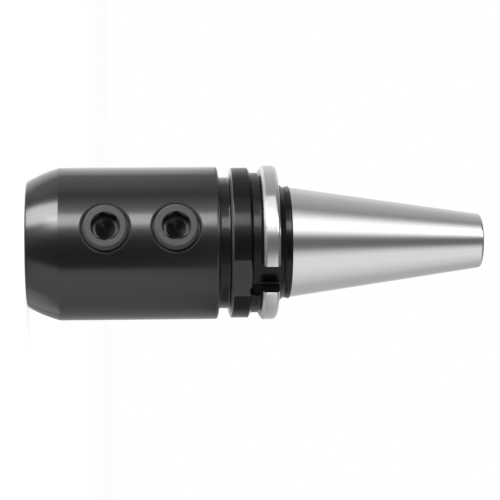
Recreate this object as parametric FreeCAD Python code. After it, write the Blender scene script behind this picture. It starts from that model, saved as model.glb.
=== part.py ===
import FreeCAD, Part
import math
import os

# Side lock end mill holder with a 7:24 machine taper. The tool axis is Z: the nose face that the
# end mill enters lies on z = 0 and the taper points up. The two clamp screws come in along +Y,
# from the -Y side. Everything is in millimetres.

# Nose and gripping body
nose_face_diameter = 50.1
nose_edge_radius = 0.9
nose_length = 13.2
nose_bulge = 0.55
body_diameter = 61.5
body_length = 76.4
body_edge_radius = 1.2

# Neck and front ring of the flange
neck_diameter = 53.0
neck_length = 4.6
front_ring_diameter = 60.6
front_ring_length = 8.6
front_ring_chamfer_depth = 1.9
front_ring_chamfer_length = 0.85
ring_flat_height = 29.2

# Gripper groove, a V with a flat bottom
groove_bottom_diameter = 56.5
groove_bottom_width = 2.9
groove_angle = 60.0

# Driven ring of the flange, and the collar that meets the taper
rear_ring_diameter = 62.2
rear_ring_length = 7.6
rear_ring_front_chamfer = 0.9
rear_ring_edge_radius = 2.0
collar_root_diameter = 48.8
collar_root_radius = 1.0
collar_length = 2.6
relief_diameter = 44.8
relief_length = 0.6
band_diameter = 45.6
band_length = 2.2
band_rear_chamfer = 0.5

# Taper, 7:24 on the diameter
gauge_diameter = 44.45
taper_ratio = 7.0 / 24.0
taper_length = 78.2
tail_edge_radius = 1.2

# Drive slots: two, on opposite sides, turned about Z from the clamp screws' side
drive_slot_count = 2
drive_slot_turn = 41.0
drive_slot_width = 11.6
drive_slot_floor = 23.0
orientation_seat_diameter = 4.8
orientation_seat_swing = 20.0
orientation_seat_tilt = 12.0
orientation_seat_place = (7.6, 24.6)
orientation_seat_setback = 0.9

# Bore for the end mill's shank
bore_diameter = 25.0
bore_depth = 76.0
bore_mouth_chamfer = 1.0

# Clamp screws and their tapped holes
clamp_screw_diameter = 18.0
clamp_screw_length = 20.0
clamp_screw_places = {"front_clamp_screw": 31.6, "rear_clamp_screw": 59.2}
clamp_screw_hex_turn = {"front_clamp_screw": 74.0, "rear_clamp_screw": 60.0}
clamp_screw_tip_gap = 0.5
clamp_screw_head_chamfer = 1.1
clamp_screw_tip_chamfer = 1.5
clamp_screw_hex = 10.0
clamp_screw_hex_depth = 6.0
clamp_screw_mouth_diameter = 11.9
clamp_screw_drill_diameter = 8.0
clamp_hole_relief_diameter = 18.9
clamp_hole_relief_depth = 4.0
clamp_hole_chamfer = 0.8

# Stop screw behind the shank, reached with a key through the tail
stop_screw_diameter = 16.0
stop_screw_length = 24.0
stop_screw_setback = 0.5
stop_screw_chamfer = 1.2
stop_screw_hex = 8.0
stop_screw_hex_depth = 9.0
stop_screw_passage = 5.0
stop_thread_length = 32.0

# Tail: core passage, pull stud thread and its pilot
core_passage_diameter = 11.0
stud_thread_wall_diameter = 14.0
stud_thread_length = 30.0
stud_pilot_diameter = 17.0
stud_pilot_depth = 6.5
stud_mouth_chamfer = 0.5

# Fits
thread_clearance = 0.05
drill_point_angle = 118.0

# Stations along Z that follow from the lengths above
flank_slope = math.tan(math.radians(groove_angle / 2))
front_ring_z = body_length + neck_length
groove_z = front_ring_z + front_ring_length
groove_end_z = groove_z + groove_bottom_width
rear_face_z = groove_end_z + rear_ring_length
collar_end_z = rear_face_z + collar_length
band_z = collar_end_z + relief_length
gauge_z = band_z + band_length
tail_z = gauge_z + taper_length
tail_diameter = gauge_diameter - taper_ratio * taper_length
stop_thread_end_z = bore_depth + stop_thread_length
stud_thread_z = tail_z - stud_pilot_depth - stud_thread_length

slot_overrun = 5.0
z_axis = FreeCAD.Vector(0, 0, 1)


def point(radius, z):
    return FreeCAD.Vector(radius, 0, z)


def rounded_corner(before, corner, after, radius):
    """Arc of a given radius that is tangent to both runs at a corner."""
    back = (before - corner).normalize()
    ahead = (after - corner).normalize()
    half = back.getAngle(ahead) / 2
    reach = radius / math.tan(half)
    middle = (back + ahead).normalize()
    crown = corner + middle * (radius / math.sin(half) - radius)
    return Part.Arc(corner + back * reach, crown, corner + ahead * reach)


def closed_profile(corners):
    """Closed wire in the XZ plane from (radius, z, corner radius, bulge of the run that ends here)."""
    places = [point(radius, z) for radius, z, _, _ in corners]
    count = len(corners)
    arcs = {}
    for i, (_, _, corner_radius, _) in enumerate(corners):
        if corner_radius > 0:
            arcs[i] = rounded_corner(places[i - 1], places[i], places[(i + 1) % count], corner_radius)
    edges = []
    for i in range(count):
        last = (i - 1) % count
        start = arcs[last].EndPoint if last in arcs else places[last]
        end = arcs[i].StartPoint if i in arcs else places[i]
        bulge = corners[i][3]
        if bulge:
            run = end - start
            side = run.cross(FreeCAD.Vector(0, 1, 0)).normalize()
            edges.append(Part.Arc(start, (start + end) * 0.5 - side * bulge, end).toShape())
        else:
            edges.append(Part.LineSegment(start, end).toShape())
        if i in arcs:
            edges.append(arcs[i].toShape())
    return Part.Wire(edges)


def turned(corners):
    """Solid of revolution about Z; corners are (radius, z) with an optional corner radius and bulge."""
    full = [tuple(corner) + (0,) * (4 - len(corner)) for corner in corners]
    return Part.Face(closed_profile(full)).revolve(FreeCAD.Vector(), z_axis, 360)


def cylinder(diameter, low, high):
    return Part.makeCylinder(diameter / 2, high - low, FreeCAD.Vector(0, 0, low))


def drill_point(diameter, base, direction):
    """Cone that a drill leaves beyond its full diameter."""
    length = diameter / 2 / math.tan(math.radians(drill_point_angle / 2))
    return Part.makeCone(diameter / 2, 0, length, FreeCAD.Vector(0, 0, base), z_axis * direction)


def hexagon_prism(across_flats, low, high, vertex_turn):
    radius = across_flats / math.sqrt(3)
    corners = []
    for step in range(7):
        angle = math.radians(vertex_turn + 60 * step)
        corners.append(FreeCAD.Vector(radius * math.cos(angle), radius * math.sin(angle), low))
    return Part.Face(Part.makePolygon(corners)).extrude(FreeCAD.Vector(0, 0, high - low))


def facing_minus_y(shape, height):
    """Turns a shape built along Z so that its +Z end faces -Y, at a height on the tool axis."""
    placed = shape.copy()
    placed.rotate(FreeCAD.Vector(), FreeCAD.Vector(1, 0, 0), 90)
    placed.translate(FreeCAD.Vector(0, 0, height))
    return placed


def turned_to_slot(shape, index):
    """Turns a shape built on the -Y side to one of the drive slots."""
    placed = shape.copy()
    placed.rotate(FreeCAD.Vector(), z_axis, drive_slot_turn + 360 / drive_slot_count * index)
    return placed


def body_blank():
    """Outline of the one-piece holder before any hole is made."""
    front_flank = (front_ring_diameter - groove_bottom_diameter) / 2 * flank_slope
    chamfer_radius = rear_ring_diameter / 2 - rear_ring_front_chamfer
    rear_flank = (chamfer_radius - groove_bottom_diameter / 2) * flank_slope
    return turned([
        (0, 0),
        (nose_face_diameter / 2, 0, nose_edge_radius),
        (body_diameter / 2, nose_length, 0, nose_bulge),
        (body_diameter / 2, body_length, body_edge_radius),
        (neck_diameter / 2, body_length),
        (neck_diameter / 2, front_ring_z),
        (front_ring_diameter / 2 - front_ring_chamfer_depth, front_ring_z),
        (front_ring_diameter / 2, front_ring_z + front_ring_chamfer_length),
        (front_ring_diameter / 2, groove_z - front_flank),
        (groove_bottom_diameter / 2, groove_z),
        (groove_bottom_diameter / 2, groove_end_z),
        (chamfer_radius, groove_end_z + rear_flank),
        (rear_ring_diameter / 2, groove_end_z + rear_flank + rear_ring_front_chamfer),
        (rear_ring_diameter / 2, rear_face_z, rear_ring_edge_radius),
        (collar_root_diameter / 2, rear_face_z, collar_root_radius),
        (relief_diameter / 2, collar_end_z),
        (relief_diameter / 2, band_z),
        (band_diameter / 2, gauge_z - band_rear_chamfer),
        (gauge_diameter / 2, gauge_z),
        (tail_diameter / 2, tail_z, tail_edge_radius),
        (0, tail_z),
    ])


def bore_stack():
    """Everything hollow along the tool axis: shank bore, stop thread, core passage, stud thread."""
    return turned([
        (0, 0),
        (bore_diameter / 2 + bore_mouth_chamfer, 0),
        (bore_diameter / 2, bore_mouth_chamfer),
        (bore_diameter / 2, bore_depth),
        (stop_screw_diameter / 2 + thread_clearance, bore_depth),
        (stop_screw_diameter / 2 + thread_clearance, stop_thread_end_z),
        (core_passage_diameter / 2, stop_thread_end_z),
        (core_passage_diameter / 2, stud_thread_z),
        (stud_thread_wall_diameter / 2, stud_thread_z),
        (stud_thread_wall_diameter / 2, tail_z - stud_pilot_depth),
        (stud_pilot_diameter / 2, tail_z - stud_pilot_depth),
        (stud_pilot_diameter / 2, tail_z - stud_mouth_chamfer),
        (stud_pilot_diameter / 2 + stud_mouth_chamfer, tail_z),
        (0, tail_z),
    ])


def clamp_hole():
    """Tapped hole for a clamp screw, with the wider relief that its thread starts in."""
    relief_floor = body_diameter / 2 - clamp_hole_relief_depth
    outside = body_diameter / 2 + slot_overrun
    thread = cylinder(clamp_screw_diameter + 2 * thread_clearance, 0, outside)
    return thread.fuse(cylinder(clamp_hole_relief_diameter, relief_floor, outside))


def clamp_hole_rims(solid):
    """Edges where the clamp holes' relief breaks out of the round body."""
    rims = []
    for edge in solid.Edges:
        spot = edge.valueAt((edge.FirstParameter + edge.LastParameter) / 2)
        on_body = abs(math.hypot(spot.x, spot.y) - body_diameter / 2) < 0.01
        for height in clamp_screw_places.values():
            from_hole = math.hypot(spot.x, spot.z - height)
            if on_body and spot.y < 0 and abs(from_hole - clamp_hole_relief_diameter / 2) < 0.01:
                rims.append(edge)
    return rims


def drive_slot():
    """Slot for a spindle's drive key, open towards the taper, on the -Y side."""
    outside = rear_ring_diameter / 2 + slot_overrun
    return Part.makeBox(
        drive_slot_width, outside - drive_slot_floor, rear_face_z + slot_overrun - groove_z,
        FreeCAD.Vector(-drive_slot_width / 2, -outside, groove_z),
    )


def ring_flat():
    """Flat milled on the front ring in line with a drive slot, on the -Y side."""
    outside = front_ring_diameter / 2 + slot_overrun
    return Part.makeBox(
        2 * outside, outside - ring_flat_height, front_ring_length,
        FreeCAD.Vector(-outside, -outside, front_ring_z),
    )


def orientation_seat():
    """Round flat-bottomed seat drilled slantwise into the lower wall of the slot, leaning towards the nose."""
    across, out = orientation_seat_place
    seat = cylinder(orientation_seat_diameter, 0, groove_bottom_diameter / 4)
    seat.rotate(FreeCAD.Vector(), FreeCAD.Vector(1, 0, 0), 90 + orientation_seat_tilt)
    seat.rotate(FreeCAD.Vector(), z_axis, -orientation_seat_swing)
    seat.translate(FreeCAD.Vector(across, -out, groove_end_z - orientation_seat_setback))
    return seat


def holder_body():
    """The one-piece holder: nose, body, flange and taper with every hole cut."""
    solid = body_blank().cut(bore_stack())
    for height in clamp_screw_places.values():
        solid = solid.cut(facing_minus_y(clamp_hole(), height))
    solid = solid.makeChamfer(clamp_hole_chamfer, clamp_hole_rims(solid))
    for index in range(drive_slot_count):
        solid = solid.cut(turned_to_slot(drive_slot(), index))
        solid = solid.cut(turned_to_slot(ring_flat(), index))
    return solid.cut(turned_to_slot(orientation_seat(), 0))


def clamp_screw(hex_turn):
    """Clamp screw along Z: flat tip at the bottom, hexagon socket at the top."""
    radius = clamp_screw_diameter / 2
    mouth_depth = clamp_screw_mouth_diameter / 2 - clamp_screw_hex / 2
    socket_floor = clamp_screw_length - clamp_screw_hex_depth
    blank = turned([
        (0, 0),
        (radius - clamp_screw_tip_chamfer, 0),
        (radius, clamp_screw_tip_chamfer),
        (radius, clamp_screw_length - clamp_screw_head_chamfer),
        (radius - clamp_screw_head_chamfer, clamp_screw_length),
        (0, clamp_screw_length),
    ])
    socket = hexagon_prism(clamp_screw_hex, socket_floor, clamp_screw_length, hex_turn)
    mouth = turned([
        (0, clamp_screw_length - mouth_depth),
        (clamp_screw_hex / 2, clamp_screw_length - mouth_depth),
        (clamp_screw_mouth_diameter / 2, clamp_screw_length),
        (0, clamp_screw_length),
    ])
    point_hole = drill_point(clamp_screw_drill_diameter, socket_floor, -1)
    return blank.cut(socket).cut(mouth).cut(point_hole)


def placed_clamp_screw(name):
    """Clamp screw backed off so that its tip leaves the bore clear for a shank."""
    tip = bore_diameter / 2 + clamp_screw_tip_gap
    screw = clamp_screw(clamp_screw_hex_turn[name])
    screw.translate(FreeCAD.Vector(0, 0, tip))
    return facing_minus_y(screw, clamp_screw_places[name])


def stop_screw():
    """Axial stop screw: flat face towards the shank, socket towards the tail, coolant passage."""
    radius = stop_screw_diameter / 2
    front = bore_depth + stop_screw_setback
    back = front + stop_screw_length
    blank = turned([
        (0, front),
        (radius - stop_screw_chamfer, front),
        (radius, front + stop_screw_chamfer),
        (radius, back - stop_screw_chamfer),
        (radius - stop_screw_chamfer, back),
        (0, back),
    ])
    socket = hexagon_prism(stop_screw_hex, back - stop_screw_hex_depth, back, 0)
    return blank.cut(socket).cut(cylinder(stop_screw_passage, front, back))


def export(name, solid):
    solid.exportStep(f"parts/{name}.step")
    print(name, "valid", solid.isValid(), "solids", len(solid.Solids), "volume", round(solid.Volume, 1))


os.makedirs("parts", exist_ok=True)
export("holder_body", holder_body())
for screw_name in clamp_screw_places:
    export(screw_name, placed_clamp_screw(screw_name))
export("axial_stop_screw", stop_screw())
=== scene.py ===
import math

import bmesh
import bpy
from mathutils import Matrix, Vector


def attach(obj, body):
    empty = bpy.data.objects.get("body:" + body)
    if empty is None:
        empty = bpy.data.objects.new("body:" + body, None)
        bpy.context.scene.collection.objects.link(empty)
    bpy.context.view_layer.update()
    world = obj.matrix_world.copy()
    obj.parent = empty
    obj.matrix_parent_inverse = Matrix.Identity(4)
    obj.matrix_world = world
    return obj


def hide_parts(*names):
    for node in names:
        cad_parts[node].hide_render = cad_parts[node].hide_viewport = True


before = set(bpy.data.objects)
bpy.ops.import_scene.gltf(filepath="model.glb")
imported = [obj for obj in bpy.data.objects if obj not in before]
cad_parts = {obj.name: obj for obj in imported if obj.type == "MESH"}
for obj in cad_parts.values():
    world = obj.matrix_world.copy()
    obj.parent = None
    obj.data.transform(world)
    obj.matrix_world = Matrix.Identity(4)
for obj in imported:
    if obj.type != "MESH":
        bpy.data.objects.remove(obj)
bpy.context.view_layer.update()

# Studio
# The holder stands on its nose in its own frame, so the camera is rolled a quarter turn and the tool
# axis runs across the picture. A long lens stands off the side that the clamp screws come in from.

mm = 0.001
photo_side = 500
photo_scale = 0.405 * mm
nose_pixel = 28.35
axis_pixel = 242.55
level_pixel = 122.0
camera_distance = 0.80
camera_azimuth = math.radians(11.95)
camera_roll = math.radians(0.5)

towards_camera = Vector((math.sin(camera_azimuth), -math.cos(camera_azimuth), 0))
picture_down = Vector((math.cos(camera_azimuth), math.sin(camera_azimuth), 0))
picture_right = Vector((0, 0, 1))


def photo_place(x_pixel, y_pixel):
    """Place on the plane through the tool axis that a pixel of the photo looks at."""
    right = (x_pixel - nose_pixel) * photo_scale
    down = (y_pixel - axis_pixel) * photo_scale
    return picture_right * right + picture_down * down


aim = photo_place(photo_side / 2, photo_side / 2)
camera_place = photo_place(level_pixel, photo_side / 2) + towards_camera * camera_distance
back = (camera_place - aim).normalized()
level_up = back.cross(picture_right).normalized()
level_right = level_up.cross(back)
camera_right = level_right * math.cos(camera_roll) - level_up * math.sin(camera_roll)
camera_up = level_up * math.cos(camera_roll) + level_right * math.sin(camera_roll)

lens = bpy.data.cameras.new("product_lens")
lens.sensor_width = 36
lens.lens = lens.sensor_width * (camera_place - aim).length / (photo_side * photo_scale)
lens.clip_start = 0.01
lens.clip_end = 50
camera = bpy.data.objects.new("product_camera", lens)
camera_turn = Matrix((camera_right, camera_up, back)).transposed().to_4x4()
camera.matrix_world = Matrix.Translation(camera_place) @ camera_turn
bpy.context.scene.collection.objects.link(camera)
bpy.context.scene.camera = camera
bpy.context.scene.view_settings.view_transform = "Standard"


class Signal:
    """An output of a node; arithmetic on it adds Math nodes beside it."""

    def __init__(self, finish, socket):
        self.finish = finish
        self.socket = socket

    def maths(self, operation, *values):
        inputs = {0: self}
        inputs.update({place + 1: value for place, value in enumerate(values)})
        return self.finish.add("Math", {"operation": operation}, inputs)

    def __add__(self, other):
        return self.maths("ADD", other)

    def __radd__(self, other):
        return self.maths("ADD", other)

    def __sub__(self, other):
        return self.maths("SUBTRACT", other)

    def __rsub__(self, other):
        return self.finish.add("Math", {"operation": "SUBTRACT"}, {0: other, 1: self})

    def __mul__(self, other):
        return self.maths("MULTIPLY", other)

    def __rmul__(self, other):
        return self.maths("MULTIPLY", other)

    def __truediv__(self, other):
        return self.maths("DIVIDE", other)

    def step(self, low, high):
        """0 below one level, 1 above the other, smooth between them."""
        ends = {"From Min": low, "From Max": high, "Value": self}
        return self.finish.add("MapRange", {"interpolation_type": "SMOOTHSTEP"}, ends)


class Finish:
    """Node tree of one finish; add() makes any node from its settings and its sockets' values or links."""

    def __init__(self, tree):
        self.tree = tree
        tree.nodes.clear()

    def add(self, kind, settings=None, inputs=None, output=0):
        made = self.tree.nodes.new("ShaderNode" + kind)
        for name, value in (settings or {}).items():
            if name == "stops":
                self.set_stops(made.color_ramp, value)
            else:
                setattr(made, name, value)
        for name, value in (inputs or {}).items():
            if isinstance(value, Signal):
                self.tree.links.new(value.socket, made.inputs[name])
            else:
                made.inputs[name].default_value = value
        return Signal(self, made.outputs[output]) if made.outputs else made

    @staticmethod
    def set_stops(ramp, stops):
        while len(ramp.elements) < len(stops):
            ramp.elements.new(1)
        for element, (position, level) in zip(ramp.elements, stops):
            element.position = position
            element.color = (level, level, level, 1)

    def mixed(self, share, first, second):
        """Colour between two, each a colour or an output."""
        ends = [end if isinstance(end, Signal) else (*end, 1) for end in (first, second)]
        return self.add("Mix", {"data_type": "RGBA"}, {"Factor": share, 6: ends[0], 7: ends[1]}, 2)

    def split(self, vector):
        """The three parts of a vector."""
        first = self.add("SeparateXYZ", {}, {0: vector})
        node = first.socket.node
        return [Signal(self, node.outputs[place]) for place in range(3)]


# What the polished steel mirrors, by the direction's angle from the camera towards the picture's lower
# edge: a dark gap where the camera stands, a pale wall below it and a greyer one above.
studio_walls = [
    (-180, 0.8), (-140, 0.72), (-118, 0.54), (-100, 0.45), (-78, 0.32), (-68, 0.5),
    (-58, 1.0), (-48, 1.35), (-30, 1.35), (-23, 1.1), (-17, 0.66), (-12, 0.4),
    (-8, 0.22), (-3, 0.17), (6, 0.16), (14, 0.24), (25, 0.66), (36, 0.9),
    (60, 0.9), (85, 0.74), (113, 0.52), (145, 0.5), (165, 0.65), (180, 0.8),
]
nose_end_level = 0.42
tail_end_level = 0.16

world = bpy.data.worlds.new("studio")
world.use_nodes = True
bpy.context.scene.world = world
sky = Finish(world.node_tree)
direction = sky.add("TexCoord", {}, {}, "Generated")
ahead = sky.add("VectorMath", {"operation": "DOT_PRODUCT"}, {0: direction, 1: towards_camera}, "Value")
below = sky.add("VectorMath", {"operation": "DOT_PRODUCT"}, {0: direction, 1: picture_down}, "Value")
turn = below.maths("ARCTAN2", ahead) / (2 * math.pi) + 0.5
wall_stops = [(angle / 360 + 0.5, level) for angle, level in studio_walls]
walls = sky.add("ValToRGB", {"stops": wall_stops}, {"Fac": turn})
height = sky.split(direction)[2]
past_nose = (0 - height).step(0.7, 0.97)
past_tail = height.step(0.55, 0.8)
nose_part = sky.mixed(past_nose, walls, (nose_end_level,) * 3)
mirrored = sky.mixed(past_tail, nose_part, (tail_end_level,) * 3)
seen = sky.add("LightPath", {}, {}, "Is Camera Ray")
shown = sky.mixed(seen, mirrored, (1, 1, 1))
backdrop = sky.add("Background", {}, {"Color": shown, "Strength": 1.0})
sky.add("OutputWorld", {}, {"Surface": backdrop})


def studio_place(angle, distance, height):
    """Place at a distance from the tool axis, at an angle from the camera towards picture_down."""
    turned = math.radians(angle)
    spoke = towards_camera * math.cos(turned) + picture_down * math.sin(turned)
    return spoke * distance + picture_right * height


lamp_aim_height = 50 * mm


def softbox(name, start, end, width, watts, mirrored=True):
    """Long soft lamp from one place to another that faces the holder."""
    lamp = bpy.data.lights.new(name, "AREA")
    lamp.shape = "RECTANGLE"
    lamp.size, lamp.size_y = width, (end - start).length
    lamp.energy = watts
    held = bpy.data.objects.new(name, lamp)
    middle = (start + end) / 2
    along = (end - start).normalized()
    facing = middle - picture_right * lamp_aim_height
    facing = (facing - along * facing.dot(along)).normalized()
    lamp_turn = Matrix((along.cross(facing), along, facing)).transposed().to_4x4()
    held.matrix_world = Matrix.Translation(middle) @ lamp_turn
    held.visible_camera = False
    held.visible_glossy = mirrored
    bpy.context.scene.collection.objects.link(held)


softbox("body_strip_light", studio_place(-34.3, 0.4, -0.3), studio_place(-34.3, 0.4, 0.12), 0.125, 0.92)
softbox("body_top_light", studio_place(-150, 0.4, -0.3), studio_place(-150, 0.4, 0.1), 0.4, 0.36)
softbox("body_upper_light", studio_place(-98, 0.4, -0.3), studio_place(-98, 0.4, 0.09), 0.22, 0.07)
softbox("nose_light", studio_place(-50, 1.1, -0.4), studio_place(-74, 0.75, -1.25), 0.6, 16)
softbox("nose_low_light", studio_place(114, 1.1, -0.37), studio_place(130, 1.1, -0.78), 0.8, 0.7)
softbox("edge_light", studio_place(-35, 0.4, 0.45), studio_place(-35, 0.4, 0.9), 0.2, 1.1)
softbox("fill_above", studio_place(-100, 1.15, -0.5), studio_place(-100, 1.15, 0.7), 0.8, 9, mirrored=False)
softbox("fill_below", studio_place(75, 1.15, -0.5), studio_place(75, 1.15, 0.7), 0.8, 9, mirrored=False)


def new_finish(name):
    material = bpy.data.materials.new(name)
    material.use_nodes = True
    return material, Finish(material.node_tree)


flag_distance = 0.25
flag_panels = 12


def flag(name, low_angle, high_angle, low, high, level):
    """Curved card round the tool axis, which only reflections see; it hides from them what lies behind."""
    points = []
    for k in range(flag_panels + 1):
        angle = low_angle + (high_angle - low_angle) * k / flag_panels
        points += [studio_place(angle, flag_distance, place) for place in (low, high)]
    mesh = bpy.data.meshes.new(name)
    mesh.from_pydata(points, [], [(2 * k, 2 * k + 1, 2 * k + 3, 2 * k + 2) for k in range(flag_panels)])
    card = bpy.data.objects.new(name, mesh)
    bpy.context.scene.collection.objects.link(card)
    material, cloth = new_finish(name)
    shine = cloth.add("Emission", {}, {"Color": (1, 1, 1, 1), "Strength": level})
    cloth.add("OutputMaterial", {}, {"Surface": shine})
    mesh.materials.append(material)
    card.visible_camera = False
    card.visible_diffuse = False
    card.visible_shadow = False


flag("body_flag", 5, 36, -0.6, 0.09, 0.11)
flag("neck_flag", 4, 80, 0.087, 0.095, 0.1)
flag("flange_flag", 4, 56, 0.095, 0.104, 0.2)
flag("ring_flag", 80, 122, 0.087, 0.104, 0.01)
flag("groove_flag", 80, 172, 0.104, 0.108, 0.02)
flag("rim_flag", -68, -15, 0.107, 0.16, 1.12)

floor_reach = 6.0
floor_gap = 0.02 * mm
floor_mesh = bpy.data.meshes.new("studio_floor")
floor_signs = [(-1, -1), (1, -1), (1, 1), (-1, 1)]
floor_corners = [(x * floor_reach, y * floor_reach, -floor_gap) for x, y in floor_signs]
floor_mesh.from_pydata(floor_corners, [], [(0, 1, 2, 3)])
floor = bpy.data.objects.new("studio_floor", floor_mesh)
bpy.context.scene.collection.objects.link(floor)
paint, ground = new_finish("pale_floor")
matt = ground.add("BsdfDiffuse", {}, {"Color": (0.8, 0.8, 0.8, 1)})
glow = ground.add("Emission", {}, {"Color": (1, 1, 1, 1), "Strength": 0.66})
white = ground.add("AddShader", {}, {0: matt, 1: glow})
underside = ground.add("NewGeometry", {}, {}, "Backfacing")
clear = ground.add("BsdfTransparent", {}, {})
one_sided = ground.add("MixShader", {}, {0: underside, 1: white, 2: clear})
ground.add("OutputMaterial", {}, {"Surface": one_sided})
floor_mesh.materials.append(paint)
floor.visible_glossy = False
floor.visible_diffuse = False
floor.visible_shadow = False

# Holder body
# One forging, turned, milled and ground, then blackened all over except where it is ground again: the
# taper, the rim of the driven ring and the bore. It is cut from its turned outline as the real one is.

body_radius = 30.75 * mm
body_length = 76.4 * mm
nose_length = 13.2 * mm
neck_radius = 26.5 * mm
front_ring_z = 81.0 * mm
front_ring_radius = 30.3 * mm
groove_radius = 28.25 * mm
groove_z = 89.6 * mm
groove_end_z = 92.5 * mm
flank_slope = math.tan(math.radians(30))
rear_ring_radius = 31.1 * mm
rear_chamfer = 0.9 * mm
ground_radius = 29.8 * mm
rear_face_z = 100.1 * mm
collar_end_z = 102.7 * mm
band_z = 103.3 * mm
gauge_z = 105.5 * mm
gauge_radius = 22.225 * mm
tail_z = 183.7 * mm
tail_radius = gauge_radius - 7 / 48 * (tail_z - gauge_z)
bore_radius = 12.5 * mm
bore_depth = 76.0 * mm
stop_thread_end_z = 108.0 * mm
passage_radius = 5.5 * mm
stud_thread_z = 147.2 * mm
pilot_z = tail_z - 6.5 * mm
pilot_radius = 8.5 * mm
edge_break = 0.15 * mm
ring_chamfer = 0.75 * mm
thread_pitch = 2.0 * mm
thread_step = 0.2 * mm
round_steps = 288
guard = 0.05 * mm


def rounded(corners, arc_step=math.radians(12)):
    """Points (radius, z) of an outline whose corners are (radius, z, fillet radius).

    A guard point beside each end of a fillet keeps the fillet's shading off the straight stretch.
    """
    places = [Vector(corner[:2]) for corner in corners]
    points = []
    for i, corner in enumerate(corners):
        radius = corner[2] if len(corner) > 2 else 0
        here = places[i]
        if not radius:
            points.append(tuple(here))
            continue
        behind = (places[i - 1] - here).normalized()
        ahead = (places[(i + 1) % len(corners)] - here).normalized()
        half = behind.angle(ahead) / 2
        centre = here + (behind + ahead).normalized() * radius / math.sin(half)
        start = here + behind * radius / math.tan(half) - centre
        end = here + ahead * radius / math.tan(half) - centre
        sweep = start.angle_signed(end)
        count = max(2, round(abs(sweep) / arc_step))
        points.append(tuple(centre + start + behind * guard))
        for k in range(count + 1):
            swing = sweep * k / count
            turned = Matrix.Rotation(-swing, 2) @ start
            points.append(tuple(centre + turned))
        points.append(tuple(centre + end + ahead * guard))
    return points


def bulged(start, end, bulge, count):
    """Points between two outline points on a shallow arc that stands out from their chord."""
    start, end = Vector(start), Vector(end)
    run = end - start
    outward = Vector((run.y, -run.x)).normalized()
    shares = [k / count for k in range(1, count)]
    return [tuple(start + run * s + outward * bulge * 4 * s * (1 - s)) for s in shares]


def thread_radius(crest, root, angle, z):
    """Radius of a right-handed 60 degree thread at one angle and height."""
    phase = (z / thread_pitch - angle / (2 * math.pi)) % 1
    wave = abs(2 * phase - 1)
    depth = min(1, max(0, (0.875 - wave) / 0.625))
    return crest + (root - crest) * depth


def ring_of(radius, z, count):
    """Closed ring of points about the tool axis; the radius may be a function of angle and height."""
    ring = []
    for k in range(count):
        angle = 2 * math.pi * k / count
        r = radius(angle, z) if callable(radius) else radius
        ring.append((r * math.cos(angle), r * math.sin(angle), z))
    return ring


def thread_rows(crest, root, low, high):
    """Outline rows of a thread between two heights, fading out at both ends."""
    count = round((high - low) / thread_step)

    def radius(angle, z):
        fade = min(1, (z - low) / thread_pitch, (high - z) / thread_pitch)
        cut = thread_radius(crest, root, angle, z)
        return crest + (cut - crest) * max(0, fade)

    return [(radius, low + (high - low) * k / count) for k in range(count + 1)]


def skin(name, rings, looped=False):
    """Object whose surface runs through rings of equal length; the end rings are closed unless it loops."""
    count = len(rings[0])
    points = [place for ring in rings for place in ring]
    faces = []
    pairs = [(i, i + 1) for i in range(len(rings) - 1)]
    if looped:
        pairs.append((len(rings) - 1, 0))
    for low, high in pairs:
        for k in range(count):
            after = (k + 1) % count
            faces.append((low * count + k, low * count + after, high * count + after, high * count + k))
    if not looped:
        faces.append(tuple(reversed(range(count))))
        faces.append(tuple((len(rings) - 1) * count + k for k in range(count)))
    mesh = bpy.data.meshes.new(name)
    mesh.from_pydata(points, [], faces)
    mesh.validate()
    piece = bpy.data.objects.new(name, mesh)
    bpy.context.scene.collection.objects.link(piece)
    return piece


front_flank = (front_ring_radius - groove_radius) * flank_slope
rear_flank = (rear_ring_radius - rear_chamfer - groove_radius) * flank_slope
nose_edge = (25.05 * mm, 0)
nose_end = (body_radius, nose_length)
outside = rounded([
    (bore_radius + 1.0 * mm, 0, 0.1 * mm),
    (*nose_edge, 1.3 * mm),
    *bulged(nose_edge, nose_end, 0.55 * mm, 16),
    (*nose_end, 0),
    (body_radius, body_length, 1.2 * mm),
    (neck_radius, body_length, 0.8 * mm),
    (neck_radius, front_ring_z, 1.0 * mm),
    (front_ring_radius - 1.9 * mm, front_ring_z, edge_break),
    (front_ring_radius, front_ring_z + ring_chamfer, 0.5 * mm),
    (front_ring_radius, groove_z - front_flank, edge_break),
    (groove_radius, groove_z, 0.2 * mm),
    (groove_radius, groove_end_z, 0.2 * mm),
    (ground_radius, groove_end_z + (ground_radius - groove_radius) * flank_slope),
    (rear_ring_radius - rear_chamfer, groove_end_z + rear_flank, edge_break),
    (rear_ring_radius, groove_end_z + rear_flank + rear_chamfer, edge_break),
    (rear_ring_radius, rear_face_z, 2.0 * mm),
    (24.4 * mm, rear_face_z, 1.0 * mm),
    (22.4 * mm, collar_end_z),
    (22.4 * mm, band_z),
    (22.8 * mm, gauge_z - 0.5 * mm, 0.2 * mm),
    (gauge_radius, gauge_z),
    (tail_radius, tail_z, 1.2 * mm),
    (pilot_radius + 0.5 * mm, tail_z, 0.1 * mm),
    (pilot_radius, tail_z - 0.5 * mm),
    (pilot_radius, pilot_z),
])
inside = [
    *reversed(thread_rows(7.0 * mm, 8.0 * mm, stud_thread_z, pilot_z)),
    (passage_radius, stud_thread_z),
    (passage_radius, stop_thread_end_z),
    *reversed(thread_rows(8.05 * mm, 8.4 * mm, bore_depth, stop_thread_end_z)),
    (bore_radius, bore_depth),
    (bore_radius, 1.0 * mm),
]
holder_rings = [ring_of(radius, z, round_steps) for radius, z in outside + inside]
holder = skin("holder_forging", holder_rings, looped=True)

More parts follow.
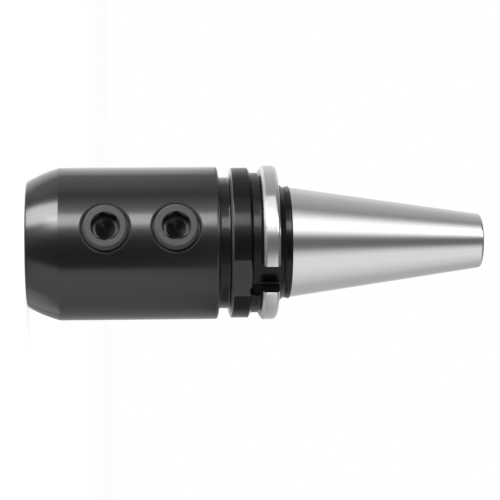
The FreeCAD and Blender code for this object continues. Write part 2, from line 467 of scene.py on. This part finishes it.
clamp_heights = {"front_clamp_screw": 31.6 * mm, "rear_clamp_screw": 59.2 * mm}
clamp_thread_crest = 9.05 * mm
clamp_thread_root = 9.42 * mm
clamp_relief_radius = 9.35 * mm
clamp_relief_depth = 4.0 * mm
clamp_chamfer = 0.9 * mm
clamp_thread_start = 6.0 * mm
chamfer_shares = (0.55, 1.5)
cutter_top = body_radius + 5.0 * mm
hole_steps = 120


def clamp_hole_cutter(name, height):
    """Tapped hole with its relief and an even chamfer that follows the round body."""
    def surface(angle, radius):
        return math.sqrt(body_radius ** 2 - (radius * math.cos(angle)) ** 2)

    def placed(radius, out_by):
        ring = []
        for k in range(hole_steps):
            angle = 2 * math.pi * k / hole_steps
            out = out_by(angle) if callable(out_by) else out_by
            r = radius(angle, out) if callable(radius) else radius
            ring.append((r * math.cos(angle), -out, height + r * math.sin(angle)))
        return ring

    def on_chamfer(share):
        """Height above the axis, round the hole, at a share of the chamfer's width."""
        def height_at(angle):
            bottom = surface(angle, clamp_relief_radius) - clamp_chamfer
            top = surface(angle, clamp_relief_radius + clamp_chamfer)
            return bottom + share * (top - bottom)
        return height_at

    relief_floor = body_radius - clamp_relief_depth
    thread = thread_rows(clamp_thread_crest, clamp_thread_root, clamp_thread_start, relief_floor)
    rings = [placed(radius, out) for radius, out in thread]
    rings.append(placed(clamp_relief_radius, relief_floor))
    rings.append(placed(clamp_relief_radius, on_chamfer(0)))
    for share in chamfer_shares:
        rings.append(placed(clamp_relief_radius + share * clamp_chamfer, on_chamfer(share)))
    rings.append(placed(clamp_relief_radius + chamfer_shares[-1] * clamp_chamfer, cutter_top))
    return skin(name, rings)


slot_turn = math.radians(41)
slot_half = 5.8 * mm
slot_floor = 23.0 * mm
slot_edge = 0.15 * mm
slot_fillet = 0.6 * mm
flat_height = 29.2 * mm
flat_edge = (0.25 * mm, 0.15 * mm)
outside_reach = 40 * mm
hair = 0.01 * mm


def turned_prism(name, low, high, turn):
    """Prism between two outlines of points (across, out, z), turned round the axis from the -Y side."""
    swing = Matrix.Rotation(turn, 3, "Z")

    def placed(outline):
        return [tuple(swing @ Vector((across, -out, z))) for across, out, z in outline]

    return skin(name, [placed(low), placed(high)])


def slot_section():
    """Section of a drive slot with broken top edges."""
    mouth = math.sqrt(rear_ring_radius ** 2 - slot_half ** 2)
    return rounded([
        (-slot_half, slot_floor, slot_fillet), (-slot_half, mouth - slot_edge),
        (-slot_half - 3 * slot_edge, mouth + 2 * slot_edge), (-slot_half - 3 * slot_edge, outside_reach),
        (slot_half + 3 * slot_edge, outside_reach), (slot_half + 3 * slot_edge, mouth + 2 * slot_edge),
        (slot_half, mouth - slot_edge), (slot_half, slot_floor, slot_fillet),
    ])


def flat_outline(across):
    """Outline of the flat milled across the front ring, with a broken edge towards the nose."""
    run, drop = flat_edge
    start_z = front_ring_z - hair
    corners = [
        (flat_height - drop, start_z), (flat_height, front_ring_z + run), (flat_height, groove_z),
        (outside_reach, groove_z), (outside_reach, start_z),
    ]
    return [(across, out, z) for out, z in corners]


seat_radius = 2.4 * mm
seat_place = Vector((7.6 * mm, -24.6 * mm, groove_end_z - 0.9 * mm))
seat_tilt = math.radians(12)
seat_swing = math.radians(20)
seat_steps = 48


def seat_cutter():
    """Round flat-bottomed seat, drilled slantwise into the lower wall of the first drive slot."""
    lean = Matrix.Rotation(-seat_swing, 3, "Z") @ Matrix.Rotation(math.radians(90) + seat_tilt, 3, "X")
    rings = []
    for out in (0, 14 * mm):
        ring = []
        for k in range(seat_steps):
            angle = 2 * math.pi * k / seat_steps
            spoke = Vector((seat_radius * math.cos(angle), seat_radius * math.sin(angle), out))
            ring.append(tuple(Matrix.Rotation(slot_turn, 3, "Z") @ (lean @ spoke + seat_place)))
        rings.append(ring)
    return skin("seat_cutter", rings)


cutters = [clamp_hole_cutter(name + "_hole", height) for name, height in clamp_heights.items()]
for turn in (slot_turn, slot_turn + math.pi):
    slot_ends = [[(across, out, z) for across, out in slot_section()] for z in (groove_z, collar_end_z)]
    cutters.append(turned_prism("slot_cutter", *slot_ends, turn))
    flat_ends = [flat_outline(across) for across in (-outside_reach, outside_reach)]
    cutters.append(turned_prism("flat_cutter", *flat_ends, turn))
cutters.append(seat_cutter())


def mend_facing(piece):
    """Makes every face of a closed mesh point outwards."""
    shape = bmesh.new()
    shape.from_mesh(piece.data)
    bmesh.ops.remove_doubles(shape, verts=shape.verts, dist=1e-7)
    bmesh.ops.recalc_face_normals(shape, faces=shape.faces)
    shape.to_mesh(piece.data)
    shape.free()


def cut_away(piece, tools):
    """Cuts the tools' shapes out of a piece, and throws the tools away."""
    mend_facing(piece)
    for tool in tools:
        mend_facing(tool)
        cut = piece.modifiers.new(tool.name, "BOOLEAN")
        cut.operation = "DIFFERENCE"
        cut.solver = "EXACT"
        cut.object = tool
    graph = bpy.context.evaluated_depsgraph_get()
    finished = bpy.data.meshes.new_from_object(piece.evaluated_get(graph))
    piece.modifiers.clear()
    piece.data = finished
    for tool in tools:
        bpy.data.objects.remove(tool)


cut_away(holder, cutters)

crisp_edge = math.radians(13.5)


def smooth(piece):
    """Smooth shading that stays crisp at machined edges."""
    piece.data.shade_smooth()
    piece.data.set_sharp_from_angle(angle=crisp_edge)


smooth(holder)


def turning_marks(finish, across, along):
    """Noise drawn out round the tool axis, as a cutting edge or a grinding wheel leaves it."""
    place = finish.add("TexCoord", {}, {}, "Object")
    stretched = finish.add("VectorMath", {"operation": "MULTIPLY"}, {0: place, 1: (along, along, across)})
    grain = {"Vector": stretched, "Scale": 1.0, "Detail": 3.0, "Roughness": 0.6}
    return finish.add("TexNoise", {}, grain, "Fac")


def black_oxide(name, depth, gloss, roughness):
    """Blackened steel; depth scales its own shade, gloss is its index of refraction."""
    material, finish = new_finish(name)
    marks = turning_marks(finish, 2600, 60)
    cloud = finish.add("TexNoise", {}, {"Scale": 90.0, "Detail": 4.0}, "Fac")
    dark, light = [tuple(part * depth for part in tint) for tint in ((0.8, 0.78, 0.88), (1.2, 1.17, 1.3))]
    shade = finish.mixed(cloud, dark, light)
    rough = roughness + 0.05 * marks + 0.04 * cloud
    bump = finish.add("Bump", {}, {"Height": marks, "Strength": 0.15, "Distance": 0.02 * mm})
    steel = finish.add("BsdfPrincipled", {}, {
        "Base Color": shade, "Roughness": rough, "Normal": bump, "IOR": gloss,
        "Anisotropic": 0.4, "Anisotropic Rotation": 0.25})
    finish.add("OutputMaterial", {}, {"Surface": steel})
    return material


def ground_steel(name, tint, roughness, drawn, relief):
    """Bright steel; drawn is how far its marks blur reflections along the tool axis, relief their depth."""
    material, finish = new_finish(name)
    marks = turning_marks(finish, 5200, 25)
    pale = tuple(part * 1.05 for part in tint)
    shade = finish.mixed(marks, tint, pale)
    rough = roughness + 0.06 * marks
    bump = finish.add("Bump", {}, {"Height": marks, "Strength": relief, "Distance": 0.01 * mm})
    steel = finish.add("BsdfPrincipled", {}, {
        "Base Color": shade, "Metallic": 1.0, "Roughness": rough, "Normal": bump,
        "Anisotropic": drawn, "Anisotropic Rotation": 0.25})
    finish.add("OutputMaterial", {}, {"Surface": steel})
    return material


finishes = {
    "body": black_oxide("black_oxide", 0.004, 1.65, 0.19),
    "flange": black_oxide("flange_black", 0.005, 1.42, 0.15),
    "rim": black_oxide("rim_black", 0.003, 1.36, 0.16),
    "taper": ground_steel("ground_taper", (0.74, 0.735, 0.73), 0.15, 0.7, 0.2),
    "ring": ground_steel("ground_ring", (0.74, 0.735, 0.73), 0.13, 0.3, 0.05),
    "edge": ground_steel("worn_edge", (0.5, 0.495, 0.49), 0.35, 0.3, 0.2),
    "bevel": ground_steel("blackened_bevel", (0.3, 0.297, 0.295), 0.35, 0.3, 0.2),
}
holder.data.materials.clear()
for material in finishes.values():
    holder.data.materials.append(material)


def body_finish_at(place, radius):
    """Name of the finish at a place on the gripping body, where the clamp holes have bevels."""
    for height in clamp_heights.values():
        width = math.hypot(place.x, place.z - height) - clamp_relief_radius
        on_screw_side = place.y < -body_radius / 2
        sunk = radius < body_radius - hair
        if on_screw_side and sunk and 0.05 * mm < width < clamp_chamfer + 0.1 * mm:
            return "edge" if width > chamfer_shares[0] * clamp_chamfer + hair else "bevel"
    return "body"


def finish_at(place, normal):
    """Name of the finish at a place on the holder's skin."""
    radius = math.hypot(place.x, place.y)
    facing = (place.x * normal.x + place.y * normal.y) / radius
    z = place.z
    in_bore = z < bore_depth and radius < bore_radius + hair
    on_taper = z > gauge_z and radius > pilot_radius + 0.4 * mm
    if in_bore or on_taper:
        return "taper"
    if z < body_length:
        return body_finish_at(place, radius)
    if groove_end_z < z < rear_face_z and radius > ground_radius:
        in_rear_fillet = z > rear_face_z - 2.05 * mm
        return "edge" if facing < 0.93 and not in_rear_fillet else "ring"
    if front_ring_z < z < front_ring_z + ring_chamfer and radius > front_ring_radius - 1.8 * mm:
        return "edge"
    swing = math.atan2(place.y, place.x) + math.pi / 2 - slot_turn
    above_flat = abs(radius * abs(math.cos(swing)) - flat_height)
    if z < groove_z and above_flat < 0.02 * mm:
        return "body"
    on_rim = radius > groove_radius + 0.6 * mm and z < groove_z
    on_collar = z > rear_face_z and radius > gauge_radius
    return "rim" if on_rim or on_collar else "flange"


for face in holder.data.polygons:
    face.material_index = list(finishes).index(finish_at(face.center, face.normal))

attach(holder, "holder")
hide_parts("holder_body")

# Clamp screws
# Two hexagon socket set screws, M18 with a fine 2 mm pitch, in phosphated steel. Their sockets are
# broached over a drilled hole, so the drill's cone shows at the bottom.

clamp_length = 20.0 * mm
clamp_crest = 9.0 * mm
clamp_root = 7.8 * mm
clamp_head_chamfer = 1.1 * mm
clamp_tip_chamfer = 1.5 * mm
clamp_hex = 10.0 * mm
clamp_hex_depth = 6.0 * mm
clamp_mouth_radius = 5.75 * mm
clamp_drill_radius = 4.0 * mm
clamp_tip_gap = 0.5 * mm
clamp_hex_turn = {"front_clamp_screw": 74.0, "rear_clamp_screw": 60.0}
clamp_row_step = 0.16 * mm
mouth_rows = 6
drill_cone = math.radians(59)
screw_steps = 120


def hexagon_radius(across_flats, turn, angle):
    """Distance from the centre of a hexagon to its side, at an angle; a vertex lies at the turn."""
    off_flat = (angle - turn) % (math.pi / 3) - math.pi / 6
    return across_flats / 2 / math.cos(off_flat)


def clamp_side(angle, z):
    """Radius of a clamp screw: thread, tip chamfer, and a 45 degree head chamfer over a long steep one."""
    from_head = clamp_length - z
    head_cut = max(clamp_head_chamfer - from_head, 0.4 * clamp_head_chamfer - from_head / 12)
    envelope = clamp_crest - max(0, clamp_tip_chamfer - z, head_cut)
    return min(thread_radius(clamp_crest, clamp_root, angle, z), envelope)


def clamp_screw(name, hex_turn):
    """Clamp screw along Z, tip at z = 0, socket at the top."""
    def opening(depth):
        cone = clamp_mouth_radius - depth
        return lambda angle, z: max(hexagon_radius(clamp_hex, hex_turn, angle), cone)

    rows = [(clamp_root - clamp_tip_chamfer, 0)]
    side_count = round(clamp_length / clamp_row_step)
    rows += [(clamp_side, clamp_length * k / side_count) for k in range(side_count + 1)]
    mouth_depth = clamp_mouth_radius - clamp_hex / 2
    for k in range(mouth_rows + 1):
        depth = mouth_depth * k / mouth_rows
        rows.append((opening(depth), clamp_length - depth))
    floor_z = clamp_length - clamp_hex_depth
    rows.append((opening(mouth_depth), floor_z))
    rows.append((clamp_drill_radius, floor_z))
    rows.append((clamp_drill_radius * 0.02, floor_z - clamp_drill_radius / math.tan(drill_cone)))
    return skin(name, [ring_of(radius, z, screw_steps) for radius, z in rows])


def phosphate():
    material, finish = new_finish("phosphate")
    grain = finish.add("TexNoise", {}, {"Scale": 1500.0, "Detail": 3.0, "Roughness": 0.7}, "Fac")
    shade = finish.mixed(grain.step(0.4, 0.62), (0.008, 0.008, 0.0077), (0.076, 0.074, 0.07))
    bump = finish.add("Bump", {}, {"Height": grain, "Strength": 0.7, "Distance": 0.05 * mm})
    coat = finish.add("BsdfPrincipled", {}, {
        "Base Color": shade, "Roughness": 0.55, "Normal": bump, "IOR": 1.45})
    finish.add("OutputMaterial", {}, {"Surface": coat})
    return material


def socket_black():
    """Darker, glossier black than the phosphate, for the faces inside a socket recess."""
    material, finish = new_finish("socket_black")
    grain = finish.add("TexNoise", {}, {"Scale": 1500.0, "Detail": 2.0}, "Fac")
    shade = finish.mixed(grain, (0.003, 0.003, 0.003), (0.006, 0.006, 0.006))
    socket_coat = finish.add("BsdfPrincipled", {}, {"Base Color": shade, "Roughness": 0.3, "IOR": 1.55})
    finish.add("OutputMaterial", {}, {"Surface": socket_coat})
    return material


screw_finish = phosphate()
socket_finish = socket_black()
for node, height in clamp_heights.items():
    screw = clamp_screw(node.replace("clamp", "side_lock"), math.radians(clamp_hex_turn[node]))
    outward = Matrix.Translation((0, 0, height)) @ Matrix.Rotation(math.radians(90), 4, "X")
    screw.data.transform(outward @ Matrix.Translation((0, 0, bore_radius + clamp_tip_gap)))
    mend_facing(screw)
    smooth(screw)
    screw.data.materials.append(screw_finish)
    screw.data.materials.append(socket_finish)
    head = bore_radius + clamp_tip_gap + clamp_length
    # Faces inside each socket recess take the darker, glossier socket black.
    for face in screw.data.polygons:
        from_axis = math.hypot(face.center.x, face.center.z - height)
        face.material_index = int(from_axis < clamp_mouth_radius and -face.center.y < head - 0.05 * mm)
    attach(screw, node.replace("_clamp", ""))
    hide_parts(node)

# Axial stop screw
# Set screw behind the shank, M16, with a socket towards the tail and a coolant passage through it.

stop_crest = 8.0 * mm
stop_root = 6.8 * mm
stop_length = 24.0 * mm
stop_front_z = 76.5 * mm
stop_back_z = stop_front_z + stop_length
stop_chamfer = 1.2 * mm
stop_hex = 8.0 * mm
stop_hex_depth = 9.0 * mm
stop_passage_radius = 2.5 * mm


def stop_side(angle, z):
    from_end = min(z - stop_front_z, stop_back_z - z)
    envelope = stop_crest - max(0, stop_chamfer - from_end)
    return min(thread_radius(stop_crest, stop_root, angle, z), envelope)


def stop_socket(angle, z):
    return hexagon_radius(stop_hex, 0, angle)


stop_count = round(stop_length / thread_step)
stop_rows = [(stop_side, stop_front_z + stop_length * k / stop_count) for k in range(stop_count + 1)]
stop_rows += [
    (stop_socket, stop_back_z), (stop_socket, stop_back_z - stop_hex_depth),
    (stop_passage_radius, stop_back_z - stop_hex_depth), (stop_passage_radius, stop_front_z),
]
stop = skin("stop_set_screw", [ring_of(radius, z, screw_steps) for radius, z in stop_rows], looped=True)
mend_facing(stop)
smooth(stop)
stop.data.materials.append(screw_finish)
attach(stop, "stop_screw")
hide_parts("axial_stop_screw")
